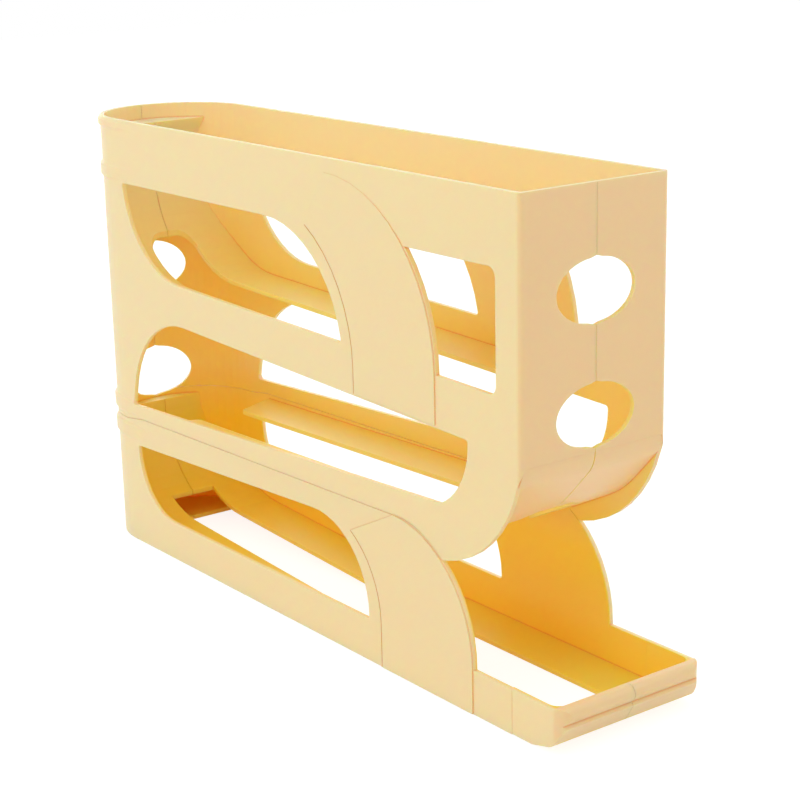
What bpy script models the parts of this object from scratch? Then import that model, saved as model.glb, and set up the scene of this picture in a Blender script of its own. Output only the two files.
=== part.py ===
"""Rolling egg dispenser: four moulded half shells that snap together around sloping channels.

Measured from the rounded back (x = 0) to the tray's lip, up from the table (z = 0), with the
vertical seam between the halves at y = 0. The right halves lie at negative y.
"""
from math import acos, asin, ceil, cos, pi, radians, sin, sqrt, tan

import bmesh
import bpy
from mathutils import Vector

# Overall size
BODY_LENGTH = 0.3407
TRAY_REACH = 0.0238
WIDTH = 0.0755
HEIGHT = 0.214

# Wall and fits
WALL = 0.002
JOINT_GAP = 0.0003
OVERRUN = 0.01
FRONT_CORNER = 0.0025
RELIEF = 0.0006
# Step that keeps the faces of two joined shapes out of one plane
SEAT = 0.00015
# Corners closer than this are one corner
WELD = 0.000002

# Ribs that carry the channel floors along the side walls: height of the rib's middle at the
# back as a share of the whole height, its rise towards the front, half its depth at the back
# and how much that grows
UPPER_RIB_HEIGHT_SHARE = 0.6213
UPPER_RIB_RISE_SHARE = -0.0256
UPPER_RIB_HALF = 0.0093
UPPER_RIB_GROWTH_SHARE = 0.0047
LOWER_RIB_HEIGHT_SHARE = 0.2799
LOWER_RIB_RISE_SHARE = 0.0468
LOWER_RIB_HALF = 0.0104
TOP_RIM_DEPTH = 0.0305
TOP_RIM_RISE_SHARE = 0.004
BASE_RIB_HEIGHT = 0.019

# Channel floors: width of the gap between the two halves of a floor, and where each one ends
FLOOR = 0.002
SLOT_HALF = 0.0125
SLOT_CORNER = 0.008
TOP_FLOOR_HEIGHT_SHARE = 0.8832
TOP_FLOOR_RISE_SHARE = 0.017
TOP_FLOOR_BACK = 0.052
SECOND_FLOOR_DROP = 0.0008
SECOND_FLOOR_FRONT_REACH = 0.0517
THIRD_FLOOR_HEIGHT_SHARE = 0.2907
THIRD_FLOOR_RISE_SHARE = 0.0295
THIRD_FLOOR_BACK = 0.054
THIRD_FLOOR_SKEW = 0.011
LAST_FLOOR_HEIGHT = 0.0112
LAST_FLOOR_FALL_SHARE = 0.05
BASE_PLATE = 0.0022
BACK_WEB_REACH = 0.033

# Guides that turn a falling egg into the next channel
BACK_GUIDE_RADIUS = 0.0536
BACK_GUIDE_INSET = 0.0111
BACK_GUIDE_TOP_DEPTH = 0.0073
BACK_GUIDE_CLOSED = 0.0218
LOW_GUIDE_RADIUS = 0.051
LOW_GUIDE_INSET = 0.009
LOW_GUIDE_TOP_DEPTH = 0.0035
FRONT_GUIDE_TURN_HEIGHT_SHARE = 0.486
FRONT_GUIDE_TURN_RADIUS_SHARE = 0.0654
FRONT_GUIDE_KNEE_REACH = 0.0212
FRONT_GUIDE_KNEE_HEIGHT_SHARE = 0.3785
FRONT_GUIDE_KNEE_RADIUS = 0.05
FRONT_GUIDE_TIP_REACH = 0.0531
FRONT_GUIDE_TIP_HEIGHT_SHARE = 0.3047
FRONT_GUIDE_CLOSED_REACH = 0.023
FRONT_FLOOR_LAP = 0.0072

# Arches of the side wall that show where the eggs turn: front edge, width of the band, inner
# radius and centre height, and the height over which the upper one rises out of the wall
UPPER_ARCH_FRONT_REACH = 0.0512
UPPER_ARCH_TOP_DEPTH = 0.006
UPPER_ARCH_HEIGHT_SHARE = 0.6355
UPPER_ARCH_FADE = 0.024
UPPER_ARCH_BAND = 0.055
UPPER_ARCH_INNER_RADIUS = 0.064
UPPER_ARCH_INNER_HEIGHT_SHARE = 0.6005
LOWER_ARCH_FRONT_REACH = 0.0292
LOWER_ARCH_RISE = 0.0075
LOWER_ARCH_HEIGHT_SHARE = 0.0935
LOWER_ARCH_BAND = 0.0617
LOWER_ARCH_INNER_RADIUS = 0.0415

# Fine groove along the inner line of each arch
GROOVE_INSET = 0.0004
GROOVE_WIDTH = 0.0005
GROOVE_DEPTH = 0.0004

# Joint between the upper and the lower pair of shells
PARTING_BACK_HEIGHT_SHARE = 0.2991
PARTING_RAMP_END = 0.053
PARTING_RAMP_RISE = 0.0021
PARTING_RISE_SHARE = 0.031

# Panel corner below the end wall
PANEL_CORNER_RADIUS = 0.059
PANEL_CORNER_HEIGHT_SHARE = 0.3294
PANEL_TIP_REACH = 0.0484

# Side windows: corners as shares of the body length, with the radius at each corner
WINDOW_A_BACK_LOW_SHARE = 0.154
WINDOW_A_BACK_TOP_SHARE = 0.135
WINDOW_A_FRONT_TOP_SHARE = 0.638
WINDOW_A_FRONT_LOW_SHARE = 0.665
WINDOW_B_BACK_TOP_SHARE = 0.163
WINDOW_B_BACK_LOW_SHARE = 0.132
WINDOW_B_FRONT_SHARE = 0.908
WINDOW_B_FRONT_LOW_SHARE = 0.854
WINDOW_B_ROUND_DEPTH = 0.0215
WINDOW_C_BACK_TOP_SHARE = 0.138
WINDOW_C_BACK_LOW_SHARE = 0.142
WINDOW_C_FRONT_SHARE = 0.708
WINDOW_D_FRONT_REACH = 0.0141
WINDOW_D_ARCH_CLEARANCE = 0.0005
WINDOW_A_FRONT_RADIUS = 0.056
LARGE_WINDOW_RADIUS = 0.05
LOW_BACK_RADIUS = 0.031
LOW_FRONT_RADIUS = 0.038
SIDE_ARC_RADIUS = 0.031
WINDOW_CORNER = 0.004
SHARP_CORNER = 0.0015

# Finger holes in the end wall and the back, split by the seam
FRONT_HOLE_HALF_WIDTH = 0.020
FRONT_HOLE_HALF_HEIGHT_SHARE = 0.0598
FRONT_HOLE_HEIGHT_SHARES = (0.5804, 0.8079)
BACK_HOLE_HALF_WIDTH = 0.020
BACK_HOLE_HALF_HEIGHT = 0.013
BACK_HOLE_HEIGHT_SHARE = 0.6121
JOINT_HOLE_HEIGHT_SHARE = 0.3495
SEAM_NOTCH = 0.0006

# Beads round the back: lower and upper edge of each
BEAD_DEPTH = 0.0012
BEAD_SOFTNESS = 0.0015
BEAD_FADE = 0.03
RIM_BEAD = 0.0053
RIB_BEAD = 0.008
RIB_BEAD_TOP_DEPTH = 0.022
JOINT_BEAD = 0.0085
JOINT_BEAD_SPACING = 0.002

# Egg tray in front of the end wall
TRAY_CORNER = 0.007
TRAY_PLATE_REACH = 0.0055
TRAY_HEEL_REACH = 0.0175
TRAY_HEEL_HEIGHT = 0.003
TRAY_NOSE_HEIGHT = 0.0125
TRAY_LIP_DEPTH = 0.0055
TRAY_LIP_HEIGHT = 0.0195
TRAY_NOSE_INSET = 0.0012
TRAY_GROOVE = 0.0012
TRAY_INNER_HEEL_REACH = 0.006
TRAY_BLOCK_START = 0.006
TRAY_ROUNDING = 0.006

ARC_STEP = radians(8)
BACK_STEPS = 12
FADE_STEPS = 3
CORNER_STEPS = 4

BACK_RADIUS = WIDTH / 2
LENGTH = BODY_LENGTH + TRAY_REACH
MID_WALL = WALL / 2
MID_GAP = JOINT_GAP / 2
INNER_HALF = WIDTH / 2 - MID_WALL
LAST_FLOOR_LEVEL = (LAST_FLOOR_HEIGHT - BASE_PLATE) / LAST_FLOOR_FALL_SHARE
UPPER_RIB_HEIGHT = HEIGHT * UPPER_RIB_HEIGHT_SHARE
LOWER_RIB_HEIGHT = HEIGHT * LOWER_RIB_HEIGHT_SHARE
TOP_FLOOR_HEIGHT = HEIGHT * TOP_FLOOR_HEIGHT_SHARE
SECOND_FLOOR_FRONT = BODY_LENGTH - SECOND_FLOOR_FRONT_REACH
THIRD_FLOOR_HEIGHT = HEIGHT * THIRD_FLOOR_HEIGHT_SHARE
FRONT_GUIDE_TURN_HEIGHT = HEIGHT * FRONT_GUIDE_TURN_HEIGHT_SHARE
FRONT_GUIDE_TURN_RADIUS = HEIGHT * FRONT_GUIDE_TURN_RADIUS_SHARE
FRONT_GUIDE_KNEE_HEIGHT = HEIGHT * FRONT_GUIDE_KNEE_HEIGHT_SHARE
FRONT_GUIDE_TIP_HEIGHT = HEIGHT * FRONT_GUIDE_TIP_HEIGHT_SHARE
PARTING_BACK_HEIGHT = HEIGHT * PARTING_BACK_HEIGHT_SHARE
PANEL_CORNER_HEIGHT = HEIGHT * PANEL_CORNER_HEIGHT_SHARE
FRONT_HOLE_HALF_HEIGHT = HEIGHT * FRONT_HOLE_HALF_HEIGHT_SHARE
BACK_HOLE_HEIGHT = HEIGHT * BACK_HOLE_HEIGHT_SHARE
JOINT_HOLE_HEIGHT = HEIGHT * JOINT_HOLE_HEIGHT_SHARE
UPPER_ARCH_FRONT = BODY_LENGTH - UPPER_ARCH_FRONT_REACH
UPPER_ARCH_HEIGHT = HEIGHT * UPPER_ARCH_HEIGHT_SHARE
UPPER_ARCH_RADIUS = HEIGHT - UPPER_ARCH_TOP_DEPTH - UPPER_ARCH_HEIGHT
UPPER_ARCH_INNER_FRONT = UPPER_ARCH_FRONT - UPPER_ARCH_BAND
UPPER_ARCH_INNER_HEIGHT = HEIGHT * UPPER_ARCH_INNER_HEIGHT_SHARE
LOWER_ARCH_FRONT = BODY_LENGTH - LOWER_ARCH_FRONT_REACH
LOWER_ARCH_HEIGHT = HEIGHT * LOWER_ARCH_HEIGHT_SHARE
LOWER_ARCH_RADIUS = PARTING_BACK_HEIGHT + LOWER_ARCH_RISE - LOWER_ARCH_HEIGHT
LOWER_ARCH_INNER_FRONT = LOWER_ARCH_FRONT - LOWER_ARCH_BAND


def upper_rib(x, side):
    """Height of the upper rib's top (side 1), middle (0) or bottom (-1) edge."""
    half = UPPER_RIB_HALF + UPPER_RIB_GROWTH_SHARE * x
    return UPPER_RIB_HEIGHT + UPPER_RIB_RISE_SHARE * x + side * half


def lower_rib(x, side):
    """Height of the lower rib's top (side 1), middle (0) or bottom (-1) edge."""
    return LOWER_RIB_HEIGHT + LOWER_RIB_RISE_SHARE * x + side * LOWER_RIB_HALF


def rim_edge(x):
    """Height of the lower edge of the band below the rim."""
    return HEIGHT - TOP_RIM_DEPTH + TOP_RIM_RISE_SHARE * x


def top_floor(x):
    """Height of the top channel's floor, which falls towards the back."""
    return TOP_FLOOR_HEIGHT + TOP_FLOOR_RISE_SHARE * x


def second_floor(x):
    """Height of the second channel's floor, which falls towards the front."""
    return upper_rib(x, 0) - SECOND_FLOOR_DROP


def third_floor(x):
    """Height of the third channel's floor, which falls towards the back."""
    return THIRD_FLOOR_HEIGHT + THIRD_FLOOR_RISE_SHARE * x


def last_floor(x):
    """Height of the last channel's floor, which falls to the tray and levels out."""
    return max(LAST_FLOOR_HEIGHT - LAST_FLOOR_FALL_SHARE * x, BASE_PLATE)


def arc(centre, radius, start, end):
    """Points of a circular arc from one angle to another."""
    steps = max(2, ceil(abs(end - start) / ARC_STEP))
    points = []
    for step in range(steps + 1):
        angle = start + (end - start) * step / steps
        points.append((centre[0] + radius * cos(angle), centre[1] + radius * sin(angle)))
    return points


def corner_arms(corners, index):
    """The edges that leave a corner of an outline, and half the angle between them."""
    corner = Vector(corners[index][:2])
    before = Vector(corners[index - 1][:2]) - corner
    after = Vector(corners[(index + 1) % len(corners)][:2]) - corner
    return before, after, before.angle(after) / 2


def rounded(corners):
    """A closed outline through corners (x, z, radius), each rounded as far as there is room."""
    reaches = []
    for index, corner in enumerate(corners):
        reaches.append(corner[2] / tan(corner_arms(corners, index)[2]))
    outline = []
    for index, (x, z, radius) in enumerate(corners):
        if radius == 0:
            outline.append((x, z))
            continue
        before, after, half = corner_arms(corners, index)
        behind = max(before.length - reaches[index - 1], before.length / 2)
        ahead = max(after.length - reaches[(index + 1) % len(corners)], after.length / 2)
        reach = min(reaches[index], behind, ahead)
        before.normalize()
        after.normalize()
        middle = (before + after).normalized()
        centre = Vector((x, z)) + middle * reach / cos(half)
        arm = Vector((x, z)) + before * reach - centre
        turn = pi - 2 * half
        if before.cross(after) > 0:
            turn = -turn
        steps = max(2, ceil(abs(turn) / ARC_STEP))
        for step in range(steps + 1):
            angle = turn * step / steps
            outline.append((centre.x + arm.x * cos(angle) - arm.y * sin(angle),
                            centre.y + arm.x * sin(angle) + arm.y * cos(angle)))
    return outline


def ribbon(points, thickness):
    """A closed outline as thick as a floor, below or behind a line of points."""
    under = []
    for index, point in enumerate(points):
        previous = Vector(points[max(index - 1, 0)])
        following = Vector(points[min(index + 1, len(points) - 1)])
        run = (following - previous).normalized()
        under.append((point[0] + run.y * thickness, point[1] - run.x * thickness))
    return list(points) + under[::-1]


def new_object(name, mesh):
    """An object that holds the mesh, linked to the scene."""
    item = bpy.data.objects.new(name, mesh)
    bpy.context.scene.collection.objects.link(item)
    return item


def finished(item):
    """The object with its modifiers or curve turned into a plain mesh."""
    graph = bpy.context.evaluated_depsgraph_get()
    mesh = bpy.data.meshes.new_from_object(item.evaluated_get(graph))
    name = item.name
    bpy.data.objects.remove(item)
    return new_object(name, mesh)


def closed_object(name, shape):
    """An object made from a closed shape, with its faces turned outwards."""
    shape.normal_update()
    bmesh.ops.recalc_face_normals(shape, faces=shape.faces[:])
    if shape.calc_volume(signed=True) < 0:
        bmesh.ops.reverse_faces(shape, faces=shape.faces[:])
    mesh = bpy.data.meshes.new(name)
    shape.to_mesh(mesh)
    shape.free()
    return new_object(name, mesh)


def prism(outline, low, high, upright=False):
    """An outline in (x, z) drawn out along y, or in (x, y) drawn out along z."""
    shape = bmesh.new()
    if upright:
        ring = [shape.verts.new((x, y, low)) for x, y in outline]
        push = Vector((0, 0, high - low))
    else:
        ring = [shape.verts.new((x, low, z)) for x, z in outline]
        push = Vector((0, high - low, 0))
    face = shape.faces.new(ring)
    drawn = bmesh.ops.extrude_face_region(shape, geom=[face], use_keep_orig=True)
    moved = [part for part in drawn["geom"] if isinstance(part, bmesh.types.BMVert)]
    bmesh.ops.translate(shape, verts=moved, vec=push)
    return closed_object("prism", shape)


def combine(item, tool, operation):
    """The item after one Boolean with the tool, which is used up."""
    change = item.modifiers.new(operation.lower(), "BOOLEAN")
    change.operation = operation
    change.solver = "EXACT"
    change.object = tool
    result = finished(item)
    bpy.data.objects.remove(tool)
    return result


def plan_run(x):
    """Distance along the outside of the wall, in plan, from the back seam to a side point."""
    if x < BACK_RADIUS:
        return BACK_RADIUS * acos(1 - x / BACK_RADIUS)
    quarter = BACK_RADIUS * pi / 2
    corner = BODY_LENGTH - FRONT_CORNER
    if x < corner:
        return quarter + x - BACK_RADIUS
    turn = asin(min(1, (x - corner) / FRONT_CORNER))
    return quarter + corner - BACK_RADIUS + FRONT_CORNER * turn


FRONT_RUN = plan_run(BODY_LENGTH) + WIDTH / 2 - FRONT_CORNER


def plan_point(run, depth):
    """Plan position (x, y) of a point on the right wall, a depth inside its outer face."""
    quarter = BACK_RADIUS * pi / 2
    side = quarter + BODY_LENGTH - FRONT_CORNER - BACK_RADIUS
    corner = side + FRONT_CORNER * pi / 2
    if run < quarter:
        angle = run / BACK_RADIUS
        reach = BACK_RADIUS - depth
        return BACK_RADIUS - reach * cos(angle), -reach * sin(angle)
    if run < side:
        return run - quarter + BACK_RADIUS, depth - WIDTH / 2
    if run < corner:
        angle = (run - side) / FRONT_CORNER
        reach = FRONT_CORNER - depth
        return (BODY_LENGTH - FRONT_CORNER + reach * sin(angle),
                FRONT_CORNER - WIDTH / 2 - reach * cos(angle))
    return BODY_LENGTH - depth, run - FRONT_RUN


def bead_levels():
    """Heights at which each bead starts, is full, is full still and ends."""
    rib_top = HEIGHT - RIB_BEAD_TOP_DEPTH
    joint_low = PARTING_BACK_HEIGHT - JOINT_BEAD_SPACING
    joint_high = PARTING_BACK_HEIGHT + JOINT_BEAD_SPACING
    levels = []
    for low, high in ((HEIGHT - RIM_BEAD, HEIGHT), (rib_top - RIB_BEAD, rib_top),
                      (joint_high, joint_high + JOINT_BEAD), (joint_low - JOINT_BEAD, joint_low)):
        levels.append((low, low + BEAD_SOFTNESS, high - BEAD_SOFTNESS, high))
    return levels


def bead_swell(run, height):
    """How far the beads round the back stand out of the wall at a point."""
    side = plan_run(BACK_RADIUS)
    fade = min(1, max(0, (side + BEAD_FADE - run) / (BEAD_FADE + side / 2)))
    for low, full, still, high in bead_levels():
        if low < height < high:
            rise = min(1, (height - low) / (full - low), (high - height) / (high - still))
            return BEAD_DEPTH * rise * fade * fade * (3 - 2 * fade)
    return 0


def bisect(shape, point, normal):
    """A cut through every face of the shape that crosses a plane."""
    everything = shape.verts[:] + shape.edges[:] + shape.faces[:]
    bmesh.ops.bisect_plane(shape, geom=everything, dist=WELD, plane_co=point, plane_no=normal)


def is_fold(edge, bead_end):
    """Whether the wall bends along an edge of the flat sheet."""
    first, second = edge.verts[0].co, edge.verts[1].co
    if abs(first.x - second.x) < MID_GAP / 10:
        return True
    level = abs(first.y - second.y) < MID_GAP / 10
    return level and min(first.z, second.z) > 0 and max(first.x, second.x) < bead_end + MID_GAP


def bent_wall(name, outline, holes):
    """A wall cut from a flat sheet, outlines in (distance along the wall, height), and bent."""
    sheet = bpy.data.curves.new(name, "CURVE")
    sheet.dimensions = "2D"
    sheet.fill_mode = "BOTH"
    sheet.extrude = MID_WALL
    for loop in [outline] + holes:
        spline = sheet.splines.new("POLY")
        spline.points.add(len(loop) - 1)
        for point, (run, height) in zip(spline.points, loop):
            point.co = (run, height, 0, 1)
        spline.use_cyclic_u = True
    item = finished(new_object(name, sheet))
    shape = bmesh.new()
    shape.from_mesh(item.data)
    bmesh.ops.remove_doubles(shape, verts=shape.verts[:], dist=WELD)
    quarter = plan_run(BACK_RADIUS)
    corner = plan_run(BODY_LENGTH - FRONT_CORNER)
    turn = plan_run(BODY_LENGTH) - corner
    cuts = [quarter * step / BACK_STEPS for step in range(1, BACK_STEPS + 1)]
    cuts += [quarter + BEAD_FADE * step / FADE_STEPS for step in range(1, FADE_STEPS + 1)]
    cuts += [corner + turn * step / CORNER_STEPS for step in range(CORNER_STEPS + 1)]
    for run in cuts:
        bisect(shape, (run, 0, 0), (1, 0, 0))
    for level in [level for levels in bead_levels() for level in levels]:
        bisect(shape, (0, level, 0), (0, 1, 0))
    bead_end = quarter + BEAD_FADE
    between = [edge for edge in shape.edges if not is_fold(edge, bead_end)]
    bmesh.ops.dissolve_limit(shape, angle_limit=ARC_STEP / 10, edges=between)
    passing = [vertex for vertex in shape.verts if len(vertex.link_edges) == 2]
    bmesh.ops.dissolve_verts(shape, verts=passing)
    bent = []
    for face in shape.faces:
        run = face.calc_center_median().x
        if run < bead_end or run > corner:
            bent.append(face)
    bmesh.ops.triangulate(shape, faces=bent)
    for vertex in shape.verts:
        run, height, side = vertex.co
        depth = -bead_swell(run, height) if side > 0 else WALL
        x, y = plan_point(run, depth)
        vertex.co = (x, y, height)
    bmesh.ops.recalc_face_normals(shape, faces=shape.faces[:])
    shape.to_mesh(item.data)
    shape.free()
    return item


def on_wall(outline):
    """The outline with x on the side view turned into distance along the wall."""
    return [(plan_run(x), z) for x, z in outline]


def oval(run, middle, half_width, half_height, start, end):
    """Points of an oval beside the seam, from one angle to another."""
    points = []
    for x, z in arc((0, 0), 1, start, end):
        points.append((run + half_width * x, middle + half_height * z))
    return points


def seam_hole(run, middle, half_width, half_height):
    """The half of an oval hole that lies beside the seam, from its top to its bottom."""
    top = (run, middle + half_height + SEAM_NOTCH)
    bottom = (run, middle - half_height - SEAM_NOTCH)
    quarter = pi / 2 - ARC_STEP
    return [top] + oval(run, middle, half_width, half_height, quarter, -quarter) + [bottom]


def joint_hole_angle(height):
    """Angle at which the hole that the joint crosses meets a height."""
    return asin((height - JOINT_HOLE_HEIGHT) / BACK_HOLE_HALF_HEIGHT)


def window_a():
    """Outline of the window below the rim."""
    back_top = WINDOW_A_BACK_TOP_SHARE * BODY_LENGTH
    front_top = WINDOW_A_FRONT_TOP_SHARE * BODY_LENGTH
    front_low = WINDOW_A_FRONT_LOW_SHARE * BODY_LENGTH
    back_low = WINDOW_A_BACK_LOW_SHARE * BODY_LENGTH
    return rounded([(back_top, rim_edge(back_top), SHARP_CORNER),
                    (front_top, rim_edge(front_top), WINDOW_A_FRONT_RADIUS),
                    (front_low, upper_rib(front_low, 1), SHARP_CORNER),
                    (back_low, upper_rib(back_low, 1), LARGE_WINDOW_RADIUS)])


def window_b():
    """Outline of the long window between the two ribs."""
    back_low = WINDOW_B_BACK_LOW_SHARE * BODY_LENGTH
    back_top = WINDOW_B_BACK_TOP_SHARE * BODY_LENGTH
    front = WINDOW_B_FRONT_SHARE * BODY_LENGTH
    front_low = WINDOW_B_FRONT_LOW_SHARE * BODY_LENGTH
    return rounded([(back_low, lower_rib(back_low, 1), SHARP_CORNER),
                    (back_top, upper_rib(back_top, -1), LARGE_WINDOW_RADIUS),
                    (front, upper_rib(front, -1), SHARP_CORNER),
                    (front, upper_rib(front, -1) - WINDOW_B_ROUND_DEPTH, SIDE_ARC_RADIUS),
                    (front_low, lower_rib(front_low, 1), SHARP_CORNER)])


def window_c():
    """Outline of the window above the base."""
    back_top = WINDOW_C_BACK_TOP_SHARE * BODY_LENGTH
    back_low = WINDOW_C_BACK_LOW_SHARE * BODY_LENGTH
    front = WINDOW_C_FRONT_SHARE * BODY_LENGTH
    return rounded([(back_top, lower_rib(back_top, -1), SHARP_CORNER),
                    (front, lower_rib(front, -1), LOW_FRONT_RADIUS),
                    (front, BASE_RIB_HEIGHT, SHARP_CORNER),
                    (back_low, BASE_RIB_HEIGHT, LOW_BACK_RADIUS)])


def window_d():
    """Outline of the small window between the upper arch and the end wall."""
    front = BODY_LENGTH - WINDOW_D_FRONT_REACH
    centre = (UPPER_ARCH_FRONT - UPPER_ARCH_RADIUS, UPPER_ARCH_HEIGHT)
    radius = UPPER_ARCH_RADIUS + WINDOW_D_ARCH_CLEARANCE
    top = rim_edge(UPPER_ARCH_FRONT)
    low = upper_rib(UPPER_ARCH_FRONT, 1)
    start = asin((low - centre[1]) / radius)
    end = asin((top - centre[1]) / radius)
    back = [(x, z, 0) for x, z in arc(centre, radius, start, end)]
    return rounded(back + [(front, rim_edge(front), WINDOW_CORNER),
                           (front, upper_rib(front, 1), WINDOW_CORNER)])


def parting_line(offset):
    """The joint between upper and lower shells, seen from the side, moved up by an offset."""
    centre = (LOWER_ARCH_FRONT - LOWER_ARCH_RADIUS, LOWER_ARCH_HEIGHT)
    ramp_height = PARTING_BACK_HEIGHT + PARTING_RAMP_RISE
    radius = LOWER_ARCH_RADIUS + offset
    reach = centre[0] - PARTING_RAMP_END
    arch_foot = ramp_height + PARTING_RISE_SHARE * reach
    start = asin(min(1, (arch_foot - LOWER_ARCH_HEIGHT) / LOWER_ARCH_RADIUS))
    line = [(BACK_RADIUS, PARTING_BACK_HEIGHT + offset),
            (PARTING_RAMP_END, ramp_height + offset)]
    tip_x = BODY_LENGTH - PANEL_TIP_REACH
    end = acos(min(1, (tip_x - centre[0]) / radius))
    return line + arc(centre, radius, pi - start, end)[1:]


def upper_wall():
    """The bent wall of the upper right shell, with its windows and seam holes."""
    joint = parting_line(MID_GAP)
    panel = rounded([(joint[-1][0], joint[-1][1], 0),
                     (BODY_LENGTH, PANEL_CORNER_HEIGHT, PANEL_CORNER_RADIUS),
                     (BODY_LENGTH, HEIGHT, 0)])[1:-1]
    guide_start = front_guide_face()[0][1]
    edge = [(x, z) for x, z in panel if z < guide_start]
    outline = on_wall(joint + edge)
    outline += [(plan_run(BODY_LENGTH), guide_start), (FRONT_RUN - MID_GAP, guide_start)]
    for share in FRONT_HOLE_HEIGHT_SHARES:
        outline += seam_hole(FRONT_RUN - MID_GAP, HEIGHT * share, -FRONT_HOLE_HALF_WIDTH,
                             FRONT_HOLE_HALF_HEIGHT)[::-1]
    outline += [(FRONT_RUN - MID_GAP, HEIGHT), (MID_GAP, HEIGHT)]
    outline += seam_hole(MID_GAP, BACK_HOLE_HEIGHT, BACK_HOLE_HALF_WIDTH, BACK_HOLE_HALF_HEIGHT)
    outline += [(MID_GAP, JOINT_HOLE_HEIGHT + BACK_HOLE_HALF_HEIGHT + SEAM_NOTCH)]
    outline += oval(MID_GAP, JOINT_HOLE_HEIGHT, BACK_HOLE_HALF_WIDTH, BACK_HOLE_HALF_HEIGHT,
                    pi / 2 - ARC_STEP, joint_hole_angle(PARTING_BACK_HEIGHT + MID_GAP))
    return bent_wall("upper_wall", outline,
                     [on_wall(window_a()), on_wall(window_b()), on_wall(window_d())])


def lower_wall():
    """The bent wall of the lower right shell, up to where the tray's front block takes over."""
    joint = parting_line(-MID_GAP)
    centre = (LOWER_ARCH_FRONT - LOWER_ARCH_RADIUS, LOWER_ARCH_HEIGHT)
    radius = LOWER_ARCH_RADIUS - MID_GAP
    start = acos((joint[-1][0] - centre[0]) / radius)
    end = asin((BASE_RIB_HEIGHT - centre[1]) / radius)
    edge = arc(centre, radius, start, end)[1:]
    block = BODY_LENGTH - TRAY_BLOCK_START
    outline = on_wall(joint + edge + [(block, BASE_RIB_HEIGHT), (block, 0)])
    outline += [(MID_GAP, 0), (MID_GAP, JOINT_HOLE_HEIGHT - BACK_HOLE_HALF_HEIGHT - SEAM_NOTCH)]
    outline += oval(MID_GAP, JOINT_HOLE_HEIGHT, BACK_HOLE_HALF_WIDTH, BACK_HOLE_HALF_HEIGHT,
                    ARC_STEP - pi / 2, joint_hole_angle(PARTING_BACK_HEIGHT - MID_GAP))
    return bent_wall("lower_wall", outline, [on_wall(window_c())])


def front_guide_face():
    """The outer face of the front guide, from the end wall down to its tip."""
    turn = (BODY_LENGTH, FRONT_GUIDE_TURN_HEIGHT, FRONT_GUIDE_TURN_RADIUS)
    knee = (BODY_LENGTH - FRONT_GUIDE_KNEE_REACH, FRONT_GUIDE_KNEE_HEIGHT, FRONT_GUIDE_KNEE_RADIUS)
    tip = (BODY_LENGTH - FRONT_GUIDE_TIP_REACH, FRONT_GUIDE_TIP_HEIGHT, 0)
    return rounded([(BODY_LENGTH, HEIGHT, 0), turn, knee, tip])[1:]


def wall_side(start, end):
    """Plan points along the middle of the right wall, from one x to another."""
    points = []
    if start < BACK_RADIUS:
        first = max(MID_GAP / INNER_HALF, acos(min(1, (BACK_RADIUS - start) / INNER_HALF)))
        last = acos(max(0, (BACK_RADIUS - end) / INNER_HALF))
        for step in range(BACK_STEPS + 1):
            angle = first + (last - first) * step / BACK_STEPS
            points.append((BACK_RADIUS - INNER_HALF * cos(angle), -INNER_HALF * sin(angle)))
    else:
        points.append((start, -INNER_HALF))
    if end > BACK_RADIUS:
        points.append((end, -INNER_HALF))
    return points


def channel(elevation, plan):
    """Part of a floor: its side view drawn across the right half and trimmed to its plan."""
    floor = prism(elevation, -WIDTH, OVERRUN)
    trim = prism(plan, -OVERRUN, HEIGHT + OVERRUN, upright=True)
    return combine(floor, trim, "INTERSECT")


def top_channel():
    """The right half of the top floor, open at the back."""
    front = BODY_LENGTH - MID_WALL
    line = [(TOP_FLOOR_BACK, top_floor(TOP_FLOOR_BACK)), (front, top_floor(front))]
    plan = wall_side(TOP_FLOOR_BACK, front) + [(front, -SLOT_HALF), (TOP_FLOOR_BACK, -SLOT_HALF)]
    return channel(ribbon(line, FLOOR), plan)


def guide_plan(closed, front):
    """Plan of a floor that is closed behind a rounded slot end and runs along the back wall."""
    slot = rounded([(front, -SLOT_HALF, 0), (closed, -SLOT_HALF, SLOT_CORNER),
                    (closed, -MID_GAP, 0)])
    return wall_side(MID_WALL, front) + slot


def second_channel():
    """The right half of the second floor with the guide that rises along the back."""
    centre_x = BACK_GUIDE_INSET + BACK_GUIDE_RADIUS
    centre = (centre_x, second_floor(centre_x) + BACK_GUIDE_RADIUS)
    top = HEIGHT - BACK_GUIDE_TOP_DEPTH
    start = pi - asin((top - centre[1]) / BACK_GUIDE_RADIUS)
    line = [(MID_WALL, top)] + arc(centre, BACK_GUIDE_RADIUS, start, 3 * pi / 2)
    line.append((SECOND_FLOOR_FRONT, second_floor(SECOND_FLOOR_FRONT)))
    return channel(ribbon_with_flange(line), guide_plan(BACK_GUIDE_CLOSED, SECOND_FLOOR_FRONT))


def ribbon_with_flange(line):
    """A ribbon below a line whose first stretch is a level flange that meets the back wall."""
    flange, edge = line[0], line[1]
    under = ribbon(line[1:], FLOOR)[len(line) - 1:]
    corner = under[-1]
    return ([flange, edge] + line[2:] + under[:-1]
            + [(corner[0], edge[1] - FLOOR), (flange[0], flange[1] - FLOOR)])


def arch_crossing():
    """Where the lower arch, with its gap, passes under the third floor."""
    middle = LOWER_ARCH_FRONT - LOWER_ARCH_RADIUS
    start = third_floor(0) - FLOOR - LOWER_ARCH_HEIGHT
    radius = LOWER_ARCH_RADIUS + JOINT_GAP
    square = 1 + THIRD_FLOOR_RISE_SHARE ** 2
    slope = start * THIRD_FLOOR_RISE_SHARE - middle
    rest = middle ** 2 + start ** 2 - radius ** 2
    return (sqrt(slope ** 2 - square * rest) - slope) / square


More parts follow.
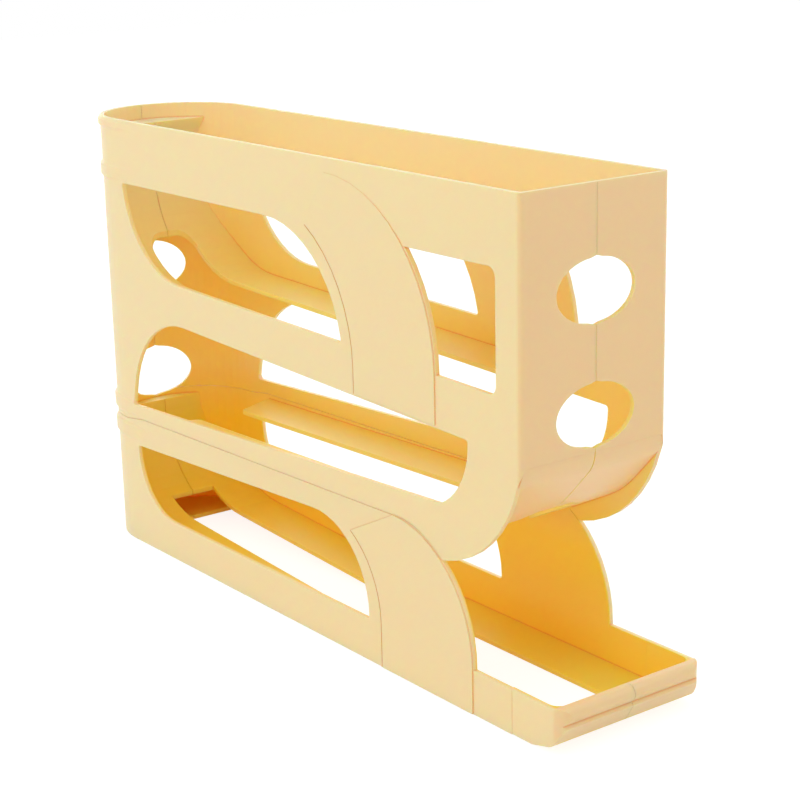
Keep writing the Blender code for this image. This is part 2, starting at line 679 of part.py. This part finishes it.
def third_channel():
    """The right half of the third floor as far as the joint, cut askew at the back."""
    front = arch_crossing() - JOINT_GAP
    arch_top = LOWER_ARCH_FRONT - LOWER_ARCH_RADIUS
    line = [(THIRD_FLOOR_BACK, third_floor(THIRD_FLOOR_BACK)), (front, third_floor(front))]
    inner = THIRD_FLOOR_BACK + THIRD_FLOOR_SKEW
    clear = WIDTH / 2 - WALL - JOINT_GAP
    plan = rounded([(THIRD_FLOOR_BACK, -INNER_HALF, 0), (arch_top, -INNER_HALF, 0),
                    (arch_top, -clear, 0), (front, -clear, 0),
                    (front, -SLOT_HALF, 0), (inner, -SLOT_HALF, WINDOW_CORNER)])
    return channel(ribbon(line, FLOOR), plan)


def front_guide():
    """The end wall's foot that turns under, with the front of the third floor."""
    face = front_guide_face()
    start = face[0][1] + FLOOR / 2
    line = [(BODY_LENGTH - SEAT, start)] + [(x - SEAT, z) for x, z in face]
    shell = ribbon(line[::-1], -FLOOR)
    closed = BODY_LENGTH - FRONT_GUIDE_CLOSED_REACH
    join = arch_crossing()
    plan = rounded([(join, -INNER_HALF, 0), (BODY_LENGTH, -INNER_HALF, FRONT_CORNER - MID_WALL),
                    (BODY_LENGTH, -MID_GAP - SEAT, 0), (closed, -MID_GAP - SEAT, 0),
                    (closed, -SLOT_HALF, WINDOW_CORNER), (join, -SLOT_HALF, 0)])
    guide = channel(shell, plan)
    meet = BODY_LENGTH - FRONT_GUIDE_TIP_REACH + FRONT_FLOOR_LAP
    floor_line = [(join, third_floor(join)), (meet, third_floor(meet))]
    outside = SEAT - INNER_HALF
    inside = -SLOT_HALF - SEAT
    floor_plan = [(join, outside), (meet, outside), (meet, inside), (join, inside)]
    return combine(guide, channel(ribbon(floor_line, FLOOR), floor_plan), "UNION")


def last_channel():
    """The right half of the last floor with the guide that rises along the back."""
    centre_x = LOW_GUIDE_INSET + LOW_GUIDE_RADIUS
    centre = (centre_x, last_floor(centre_x) + LOW_GUIDE_RADIUS)
    top = PARTING_BACK_HEIGHT - LOW_GUIDE_TOP_DEPTH
    front = BODY_LENGTH
    start = pi - asin((top - centre[1]) / LOW_GUIDE_RADIUS)
    line = [(MID_WALL, top)] + arc(centre, LOW_GUIDE_RADIUS, start, 3 * pi / 2)
    line += [(LAST_FLOOR_LEVEL, BASE_PLATE), (front, BASE_PLATE)]
    plan = wall_side(MID_WALL, front) + [(front, -SLOT_HALF), (BACK_WEB_REACH, -SLOT_HALF),
                                         (BACK_WEB_REACH, -MID_GAP)]
    return channel(ribbon_with_flange(line), plan)


def back_web():
    """The plate that closes the base behind the last channel's guide."""
    outline = wall_side(MID_WALL, BACK_WEB_REACH) + [(BACK_WEB_REACH, -MID_GAP)]
    return prism(outline, SEAT, WALL + SEAT, upright=True)


def tray_front():
    """The tray's rounded front with its lip, carved out of one block."""
    nose = LENGTH - TRAY_NOSE_INSET
    start = BODY_LENGTH - TRAY_BLOCK_START - MID_WALL
    plate_end = BODY_LENGTH + TRAY_PLATE_REACH
    lip_back = LENGTH - TRAY_LIP_DEPTH
    top = BASE_RIB_HEIGHT + SEAT
    side_view = rounded([(start, SEAT, 0),
                         (plate_end, SEAT, TRAY_ROUNDING),
                         (BODY_LENGTH + TRAY_HEEL_REACH, TRAY_HEEL_HEIGHT, TRAY_ROUNDING),
                         (nose, TRAY_NOSE_HEIGHT - TRAY_GROOVE, 0),
                         (nose - TRAY_GROOVE, TRAY_NOSE_HEIGHT, 0),
                         (nose, TRAY_NOSE_HEIGHT + TRAY_GROOVE, 0),
                         (LENGTH, TRAY_NOSE_HEIGHT + TRAY_LIP_DEPTH / 2, TRAY_LIP_DEPTH / 2),
                         (LENGTH - TRAY_NOSE_INSET, TRAY_LIP_HEIGHT, TRAY_LIP_DEPTH / 2),
                         (lip_back, TRAY_LIP_HEIGHT, TRAY_NOSE_INSET),
                         (lip_back, top, 0),
                         (start, top, 0)])
    side = SEAT - WIDTH / 2
    block = prism(side_view, -WIDTH, -MID_GAP)
    plan = rounded([(start - OVERRUN, side, 0), (LENGTH, side, TRAY_CORNER),
                    (LENGTH, 0, 0), (start - OVERRUN, 0, 0)])
    block = combine(block, prism(plan, -OVERRUN, HEIGHT, upright=True), "INTERSECT")
    inner_view = rounded([(start - OVERRUN, BASE_PLATE, 0),
                          (BODY_LENGTH + TRAY_INNER_HEEL_REACH, BASE_PLATE, TRAY_ROUNDING),
                          (lip_back, BASE_RIB_HEIGHT - TRAY_LIP_DEPTH, TRAY_ROUNDING),
                          (lip_back, HEIGHT, 0),
                          (start - OVERRUN, HEIGHT, 0)])
    inner_corner = TRAY_CORNER - WALL
    cavity = prism(inner_view, -WIDTH, OVERRUN)
    inner_plan = rounded([(start - 2 * OVERRUN, side + WALL, 0),
                          (lip_back, side + WALL, inner_corner),
                          (lip_back, OVERRUN, 0), (start - 2 * OVERRUN, OVERRUN, 0)])
    inner = prism(inner_plan, -OVERRUN, HEIGHT + OVERRUN, upright=True)
    cavity = combine(cavity, inner, "INTERSECT")
    block = combine(block, cavity, "DIFFERENCE")
    slot_end = BODY_LENGTH + TRAY_PLATE_REACH
    slot = prism([(start - OVERRUN, -SLOT_HALF), (slot_end, -SLOT_HALF),
                  (slot_end, OVERRUN), (start - OVERRUN, OVERRUN)], -OVERRUN, BASE_PLATE + WALL,
                 upright=True)
    return combine(block, slot, "DIFFERENCE")


def upper_band():
    """The raised arch of the upper right wall."""
    radius = UPPER_ARCH_RADIUS - SEAT
    centre = (UPPER_ARCH_FRONT - UPPER_ARCH_RADIUS, UPPER_ARCH_HEIGHT)
    inner = (UPPER_ARCH_INNER_FRONT - UPPER_ARCH_INNER_RADIUS, UPPER_ARCH_INNER_HEIGHT)
    foot = upper_rib(UPPER_ARCH_FRONT, -1) + MID_WALL
    inner_foot = upper_rib(UPPER_ARCH_INNER_FRONT, -1) + MID_WALL
    outline = arc(centre, radius, pi / 2, 0) + [(centre[0] + radius, foot)]
    outline.append((UPPER_ARCH_INNER_FRONT, inner_foot))
    outline += arc(inner, UPPER_ARCH_INNER_RADIUS, 0, pi / 3)
    return faded(prism(outline, -WIDTH / 2 - RELIEF, -INNER_HALF), centre[1] + radius)


def faded(band, top):
    """The raised band sunk almost into the wall at its top, rising to its full relief below."""
    shape = bmesh.new()
    shape.from_mesh(band.data)
    bpy.data.objects.remove(band)
    for vertex in shape.verts:
        if vertex.co.y < -WIDTH / 2:
            share = min(1, (top - vertex.co.z) / UPPER_ARCH_FADE)
            vertex.co.y = -WIDTH / 2 - SEAT - (RELIEF - SEAT) * share
    bmesh.ops.triangulate(shape, faces=shape.faces[:])
    return closed_object("band", shape)


def lower_band():
    """The raised arch of the lower right wall."""
    centre = (LOWER_ARCH_FRONT - LOWER_ARCH_RADIUS, LOWER_ARCH_HEIGHT)
    inner = (LOWER_ARCH_INNER_FRONT - LOWER_ARCH_INNER_RADIUS, LOWER_ARCH_HEIGHT)
    radius = LOWER_ARCH_RADIUS - RELIEF
    front = centre[0] + radius
    outline = arc(centre, radius, pi / 2, 0)
    outline += [(front, SEAT), (LOWER_ARCH_INNER_FRONT, SEAT)]
    outline += arc(inner, LOWER_ARCH_INNER_RADIUS, 0, pi / 3)
    return prism(outline, -WIDTH / 2 - RELIEF, -INNER_HALF)


def band_groove(line):
    """The cutter for a groove in a raised band, to the front of a line on the side view."""
    return prism(ribbon(line, GROOVE_WIDTH), -WIDTH, GROOVE_DEPTH - RELIEF - WIDTH / 2)


def upper_groove():
    """The cutter for the groove along the upper arch's inner line."""
    radius = UPPER_ARCH_INNER_RADIUS + GROOVE_INSET
    centre = (UPPER_ARCH_INNER_FRONT - UPPER_ARCH_INNER_RADIUS, UPPER_ARCH_INNER_HEIGHT)
    foot = (centre[0] + radius, upper_rib(UPPER_ARCH_INNER_FRONT, -1))
    return band_groove([foot] + arc(centre, radius, 0, pi / 3))


def lower_groove():
    """The cutter for the groove along the lower arch's inner line."""
    radius = LOWER_ARCH_INNER_RADIUS + GROOVE_INSET
    centre = (LOWER_ARCH_INNER_FRONT - LOWER_ARCH_INNER_RADIUS, LOWER_ARCH_HEIGHT)
    return band_groove([(centre[0] + radius, -OVERRUN)] + arc(centre, radius, 0, pi / 3))


def moulded_plastic(name):
    """Satin polypropylene in a creamy yellow."""
    material = bpy.data.materials.new(name)
    material.use_nodes = True
    surface = material.node_tree.nodes["Principled BSDF"]
    surface.inputs["Base Color"].default_value = (0.88, 0.70, 0.38, 1)
    surface.inputs["Roughness"].default_value = 0.42
    surface.inputs["Metallic"].default_value = 0
    return material


def moulded(name, item, side):
    """The shell as one clean triangulated body, as it is (side 1) or across the seam (-1)."""
    shape = bmesh.new()
    shape.from_mesh(item.data)
    bmesh.ops.remove_doubles(shape, verts=shape.verts[:], dist=WELD)
    bmesh.ops.triangulate(shape, faces=shape.faces[:])
    bmesh.ops.dissolve_degenerate(shape, edges=shape.edges[:], dist=WELD)
    for vertex in shape.verts:
        vertex.co.y = side * vertex.co.y
    return closed_object(name, shape)


def main():
    for item in list(bpy.data.objects):
        bpy.data.objects.remove(item)
    upper = upper_wall()
    for piece in (top_channel(), second_channel(), front_guide(), upper_band()):
        upper = combine(upper, piece, "UNION")
    lower = lower_wall()
    for piece in (third_channel(), last_channel(), back_web(), tray_front(), lower_band()):
        lower = combine(lower, piece, "UNION")
    upper = combine(upper, upper_groove(), "DIFFERENCE")
    lower = combine(lower, lower_groove(), "DIFFERENCE")
    shells = [moulded("upper_right_shell", upper, 1), moulded("upper_left_shell", upper, -1),
              moulded("lower_right_shell", lower, 1), moulded("lower_left_shell", lower, -1)]
    bpy.data.objects.remove(upper)
    bpy.data.objects.remove(lower)
    reach = [vertex.co.x for shell in shells for vertex in shell.data.vertices]
    middle = (min(reach) + max(reach)) / 2
    for shell in shells:
        shell.data.materials.clear()
        shell.data.materials.append(moulded_plastic("plastic_of_" + shell.name))
        shell.data.shade_smooth()
        shell.data.set_sharp_from_angle(angle=ARC_STEP * 4)
        shell.location.x = -middle


main()
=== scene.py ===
"""Looks for the rolling egg dispenser: satin cream polypropylene on a white studio floor."""
from math import cos, radians, sin

import bpy
from mathutils import Matrix, Vector


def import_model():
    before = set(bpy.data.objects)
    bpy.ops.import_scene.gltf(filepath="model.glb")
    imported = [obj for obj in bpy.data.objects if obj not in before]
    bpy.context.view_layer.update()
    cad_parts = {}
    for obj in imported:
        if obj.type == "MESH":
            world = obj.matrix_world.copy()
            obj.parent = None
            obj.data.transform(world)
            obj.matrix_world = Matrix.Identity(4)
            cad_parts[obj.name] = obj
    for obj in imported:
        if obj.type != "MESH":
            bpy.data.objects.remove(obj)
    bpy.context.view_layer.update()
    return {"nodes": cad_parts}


# Camera: what it looks at, from where, and its lens, in mm as the sensor's width is
TARGET = Vector((0.03441, 0, 0.1037))
AZIMUTH = radians(53.25)
ELEVATION = radians(15.69)
ROLL = radians(-1.28)
DISTANCE = 0.8266
LENS = 85.34
SENSOR_WIDTH = 36
NEAREST_SEEN = 0.01

# Colours of the plastic, with painted light: sides and rim made paler as painted sheen, faces to the
# front made darker as painted shade, and grooves and corners made darker as painted shade
OUTER_SHEEN_COLOUR = (0.98, 0.78, 0.44, 1)
FRONT_SHADE_COLOUR = (0.97, 0.71, 0.39, 1)
CREVICE_SHADE_COLOUR = (0.85, 0.45, 0.12, 1)
# Colours inside, as painted glow of the light that comes through the walls, graded from the base up, at
# shares of the height
INNER_GLOW_COLOURS = ((0.05, (0.99, 0.735, 0.1, 1)), (0.22, (0.995, 0.75, 0.08, 1)),
                 (0.36, (0.99, 0.79, 0.28, 1)), (0.6, (0.98, 0.785, 0.24, 1)),
                 (0.9, (0.98, 0.785, 0.43, 1)))

# Painted shade in grooves and corners: how far open space is looked for, and the shares of it that
# shade
CREVICE_REACH = 0.0012
CREVICE_SHADES = (0.3, 0.85)
CREVICE_SAMPLES = 8

# Light in the plastic
GLOW_RADIUS = (1.0, 0.5, 0.2)
GLOW_SCALE = 0.003
PLASTIC_IOR = 1.49

# Surface of the plastic: flow mottle, its gloss, fine grain, long waves and rounded edges
MOTTLE_SCALE = 38
MOTTLE_DETAIL = 4
ROUGHNESS_RANGE = (0.34, 0.48)
GRAIN_SCALE = 2600
GRAIN_DETAIL = 2
GRAIN_STRENGTH = 0.12
GRAIN_DEPTH = 0.00004
WAVE_SCALE = MOTTLE_SCALE / 2
WAVE_STRENGTH = 0.2
WAVE_DEPTH = 0.0001
EDGE_ROUNDING = 0.0006
EDGE_SAMPLES = 4

# Where the outside of the shells lies
HEIGHT = 0.214
OUTER_RADIUS = 0.03775
BACK_CENTRE = -0.144037
END_WALL = 0.158913
END_WALL_FOOT = 0.068
END_TURN = 0.03
TRAY_LIP = 0.177
SKIN = 0.001
# How far a face turns to the front before it has the front's painted shade
FRONT_FACING = (0.1, 0.6)

# Lamps: name, place, point aimed at, width and height, and power
LAMPS = (("key", (-0.1, -1.3, 1.1), (0, 0, 0.1), (1.2, 1.0), 4.6),
         ("far", (-0.3, 1.4, 0.5), (0, 0, 0.08), (1.4, 1.0), 2.8),
         ("back", (-1.3, 0.6, 0.2), (0, 0, 0.08), (1.0, 0.5), 3),
         ("low", (0.3, 0.6, 0.15), (0.1, 0, 0.02), (0.5, 0.2), 0.25),
         ("top", (0, 0.1, 1.5), (0, 0, 0.1), (1.4, 1.2), 1))
LIGHT_BOUNCES = 24

# World and floor: how they light the object, and how the camera sees them
WORLD_COLOUR = (1, 1, 1, 1)
WORLD_LEVEL = 0.72
WORLD_LEVEL_SEEN = 1
FLOOR_COLOUR = (0.95, 0.95, 0.95, 1)
FLOOR_ROUGHNESS = 0.9
FLOOR_SEEN = (0.3, 0.3, 0.3, 1)
FLOOR_GLOW = 0.84
FLOOR_SIZE = 6
FLOOR_DROP = 0.0002


def maths(material, operation, first, second):
    """The result of one sum on a socket and a socket or number."""
    node = material.node_tree.nodes.new("ShaderNodeMath")
    node.operation = operation
    for value, entry in ((first, node.inputs[0]), (second, node.inputs[1])):
        if isinstance(value, (int, float)):
            entry.default_value = value
        else:
            material.node_tree.links.new(value, entry)
    return node.outputs[0]


def between(material, value, low, high):
    """0 where a value is at its low limit, 1 at its high one, and a share in between."""
    node = material.node_tree.nodes.new("ShaderNodeMapRange")
    node.inputs["From Min"].default_value = low
    node.inputs["From Max"].default_value = high
    material.node_tree.links.new(value, node.inputs["Value"])
    return node.outputs["Result"]


def sheen_and_shade_masks(material, split):
    """Masks of the painted sheen on the sides with the rim and of the painted shade on the faces to the
    front and the tray lip: 1 there and 0 inside.
    """
    behind = maths(material, "MAXIMUM", maths(material, "SUBTRACT", BACK_CENTRE, split.outputs["X"]), 0)
    square = maths(material, "ADD", maths(material, "MULTIPLY", behind, behind),
                   maths(material, "MULTIPLY", split.outputs["Y"], split.outputs["Y"]))
    radius = maths(material, "SQRT", square, 0)
    side_sheen = between(material, radius, OUTER_RADIUS - 2 * SKIN, OUTER_RADIUS - SKIN)
    shape = material.node_tree.nodes.new("ShaderNodeNewGeometry")
    facing = material.node_tree.nodes.new("ShaderNodeSeparateXYZ")
    material.node_tree.links.new(shape.outputs["True Normal"], facing.inputs[0])
    # Painted shade on faces turned to the front above the end wall's foot, and on the tray lip
    front = between(material, split.outputs["X"], END_WALL - END_TURN - SKIN, END_WALL - END_TURN)
    above = between(material, split.outputs["Z"], END_WALL_FOOT, END_WALL_FOOT + SKIN)
    end_shade = maths(material, "MULTIPLY", maths(material, "MULTIPLY", front, above),
                between(material, facing.outputs["X"], *FRONT_FACING))
    lip_shade = between(material, split.outputs["X"], TRAY_LIP, TRAY_LIP + SKIN)
    rim_sheen = between(material, split.outputs["Z"], HEIGHT - SKIN, HEIGHT)
    return maths(material, "MAXIMUM", side_sheen, rim_sheen), maths(material, "MAXIMUM", end_shade, lip_shade)


def moulded_plastic(name, seed):
    """Satin moulded plastic: fine spark-eroded grain, faint flow mottle and warm translucency, with
    painted sheen outside, painted glow inside and painted shade on front faces and in grooves.
    """
    material = bpy.data.materials.new(name)
    material.use_nodes = True
    nodes = material.node_tree.nodes
    links = material.node_tree.links
    surface = nodes["Principled BSDF"]
    place = nodes.new("ShaderNodeTexCoord")

    mottle = nodes.new("ShaderNodeTexNoise")
    mottle.noise_dimensions = "4D"
    mottle.inputs["W"].default_value = seed
    mottle.inputs["Scale"].default_value = MOTTLE_SCALE
    mottle.inputs["Detail"].default_value = MOTTLE_DETAIL
    links.new(place.outputs["Object"], mottle.inputs["Vector"])
    # Painted glow inside: deeper colours graded by height stand in for light coming through the walls
    inner_glow = nodes.new("ShaderNodeValToRGB")
    stops = inner_glow.color_ramp.elements
    while len(stops) < len(INNER_GLOW_COLOURS):
        stops.new(1)
    for stop, (position, colour) in zip(stops, INNER_GLOW_COLOURS):
        stop.position = position
        stop.color = colour
    split = nodes.new("ShaderNodeSeparateXYZ")
    links.new(place.outputs["Object"], split.inputs[0])
    links.new(between(material, split.outputs["Z"], 0, HEIGHT), inner_glow.inputs["Fac"])
    colour = inner_glow.outputs["Color"]
    # Painted light: the sides and rim take the paler painted sheen colour, and the faces to the front
    # and the tray lip take the darker painted shade colour
    for mask, shade in zip(sheen_and_shade_masks(material, split), (OUTER_SHEEN_COLOUR, FRONT_SHADE_COLOUR)):
        sheen_and_shade_tint = nodes.new("ShaderNodeMix")
        sheen_and_shade_tint.data_type = "RGBA"
        sheen_and_shade_tint.inputs["B"].default_value = shade
        links.new(mask, sheen_and_shade_tint.inputs["Factor"])
        links.new(colour, sheen_and_shade_tint.inputs["A"])
        colour = sheen_and_shade_tint.outputs["Result"]
    # Painted shade: grooves, corners and joints are darkened towards the crevice colour where open
    # space is near
    crevice_occlusion = nodes.new("ShaderNodeAmbientOcclusion")
    crevice_occlusion.samples = CREVICE_SAMPLES
    crevice_occlusion.only_local = True
    crevice_occlusion.inputs["Distance"].default_value = CREVICE_REACH
    crevice_shade = nodes.new("ShaderNodeMix")
    crevice_shade.data_type = "RGBA"
    crevice_shade.inputs["A"].default_value = CREVICE_SHADE_COLOUR
    links.new(between(material, crevice_occlusion.outputs["AO"], *CREVICE_SHADES), crevice_shade.inputs["Factor"])
    links.new(colour, crevice_shade.inputs["B"])
    links.new(crevice_shade.outputs["Result"], surface.inputs["Base Color"])

    gloss = nodes.new("ShaderNodeMapRange")
    gloss.inputs["To Min"].default_value, gloss.inputs["To Max"].default_value = ROUGHNESS_RANGE
    links.new(mottle.outputs["Fac"], gloss.inputs["Value"])
    links.new(gloss.outputs["Result"], surface.inputs["Roughness"])

    grain = nodes.new("ShaderNodeTexNoise")
    grain.inputs["Scale"].default_value = GRAIN_SCALE
    grain.inputs["Detail"].default_value = GRAIN_DETAIL
    links.new(place.outputs["Object"], grain.inputs["Vector"])
    flow = nodes.new("ShaderNodeTexNoise")
    flow.inputs["Scale"].default_value = WAVE_SCALE
    links.new(place.outputs["Object"], flow.inputs["Vector"])
    rounding = nodes.new("ShaderNodeBevel")
    rounding.samples = EDGE_SAMPLES
    rounding.inputs["Radius"].default_value = EDGE_ROUNDING
    fine = nodes.new("ShaderNodeBump")
    links.new(rounding.outputs["Normal"], fine.inputs["Normal"])
    fine.inputs["Strength"].default_value = GRAIN_STRENGTH
    fine.inputs["Distance"].default_value = GRAIN_DEPTH
    links.new(grain.outputs["Fac"], fine.inputs["Height"])
    wave = nodes.new("ShaderNodeBump")
    wave.inputs["Strength"].default_value = WAVE_STRENGTH
    wave.inputs["Distance"].default_value = WAVE_DEPTH
    links.new(flow.outputs["Fac"], wave.inputs["Height"])
    links.new(fine.outputs["Normal"], wave.inputs["Normal"])
    links.new(wave.outputs["Normal"], surface.inputs["Normal"])

    surface.inputs["Metallic"].default_value = 0
    surface.inputs["IOR"].default_value = PLASTIC_IOR
    surface.inputs["Subsurface Weight"].default_value = 1
    surface.inputs["Subsurface Radius"].default_value = GLOW_RADIUS
    surface.inputs["Subsurface Scale"].default_value = GLOW_SCALE
    return material


def area_light(name, place, target, size, power):
    """A soft rectangular studio lamp aimed at a point."""
    data = bpy.data.lights.new(name, "AREA")
    data.shape = "RECTANGLE"
    data.size, data.size_y = size
    data.energy = power
    lamp = bpy.data.objects.new(name, data)
    bpy.context.scene.collection.objects.link(lamp)
    lamp.location = place
    lamp.rotation_euler = (Vector(target) - Vector(place)).to_track_quat("-Z", "Y").to_euler()


def camera():
    """The camera at the photograph's viewing angle."""
    back = Vector((sin(AZIMUTH) * cos(ELEVATION), -cos(AZIMUTH) * cos(ELEVATION), sin(ELEVATION)))
    right = Vector((cos(AZIMUTH), sin(AZIMUTH), 0))
    up = back.cross(right)
    rolled_right = right * cos(ROLL) + up * sin(ROLL)
    rolled_up = up * cos(ROLL) - right * sin(ROLL)
    data = bpy.data.cameras.new("camera")
    data.lens = LENS
    data.sensor_width = SENSOR_WIDTH
    data.clip_start = NEAREST_SEEN
    item = bpy.data.objects.new("camera", data)
    bpy.context.scene.collection.objects.link(item)
    turn = Matrix((rolled_right, rolled_up, back)).transposed().to_4x4()
    item.matrix_world = Matrix.Translation(TARGET + back * DISTANCE) @ turn
    bpy.context.scene.camera = item


def shown_to_camera(nodes, links):
    """1 for rays from the camera and those seen in gloss or through glass, 0 for light."""
    path = nodes.new("ShaderNodeLightPath")
    total = nodes.new("ShaderNodeMath")
    total.operation = "MAXIMUM"
    links.new(path.outputs["Is Camera Ray"], total.inputs[0])
    links.new(path.outputs["Is Glossy Ray"], total.inputs[1])
    every = nodes.new("ShaderNodeMath")
    every.operation = "MAXIMUM"
    links.new(total.outputs[0], every.inputs[0])
    links.new(path.outputs["Is Transmission Ray"], every.inputs[1])
    return every.outputs[0]


def white_world():
    """Even white surroundings, pure white to the camera."""
    world = bpy.data.worlds.new("studio")
    bpy.context.scene.world = world
    world.use_nodes = True
    nodes = world.node_tree.nodes
    links = world.node_tree.links
    sky = nodes["Background"]
    sky.inputs["Color"].default_value = WORLD_COLOUR
    level = nodes.new("ShaderNodeMapRange")
    level.inputs["To Min"].default_value = WORLD_LEVEL
    level.inputs["To Max"].default_value = WORLD_LEVEL_SEEN
    links.new(shown_to_camera(nodes, links), level.inputs["Value"])
    links.new(level.outputs["Result"], sky.inputs["Strength"])


def studio_floor():
    """A white floor that keeps the object's soft shadow."""
    half = FLOOR_SIZE / 2
    mesh = bpy.data.meshes.new("floor")
    corners = [(-half, -half, 0), (half, -half, 0), (half, half, 0), (-half, half, 0)]
    mesh.from_pydata(corners, [], [(0, 1, 2, 3)])
    floor = bpy.data.objects.new("floor", mesh)
    bpy.context.scene.collection.objects.link(floor)
    floor.location.z = -FLOOR_DROP
    material = bpy.data.materials.new("floor")
    material.use_nodes = True
    nodes = material.node_tree.nodes
    links = material.node_tree.links
    lit = nodes["Principled BSDF"]
    lit.inputs["Base Color"].default_value = FLOOR_COLOUR
    lit.inputs["Roughness"].default_value = FLOOR_ROUGHNESS
    lit.inputs["Specular IOR Level"].default_value = 0
    seen = nodes.new("ShaderNodeBsdfDiffuse")
    seen.inputs["Color"].default_value = FLOOR_SEEN
    glow = nodes.new("ShaderNodeEmission")
    glow.inputs["Strength"].default_value = FLOOR_GLOW
    both = nodes.new("ShaderNodeAddShader")
    links.new(seen.outputs[0], both.inputs[0])
    links.new(glow.outputs[0], both.inputs[1])
    choice = nodes.new("ShaderNodeMixShader")
    links.new(shown_to_camera(nodes, links), choice.inputs["Fac"])
    links.new(lit.outputs[0], choice.inputs[1])
    links.new(both.outputs[0], choice.inputs[2])
    links.new(choice.outputs[0], nodes["Material Output"].inputs["Surface"])
    mesh.materials.append(material)


def main():
    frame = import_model()
    for seed, (name, item) in enumerate(sorted(frame["nodes"].items())):
        item.data.materials.clear()
        item.data.materials.append(moulded_plastic("plastic_" + name, seed))
    camera()
    white_world()
    studio_floor()
    for lamp in LAMPS:
        area_light(*lamp)
    bpy.context.scene.view_settings.view_transform = "Standard"
    bpy.context.scene.cycles.diffuse_bounces = LIGHT_BOUNCES
    bpy.context.scene.cycles.max_bounces = LIGHT_BOUNCES


main()
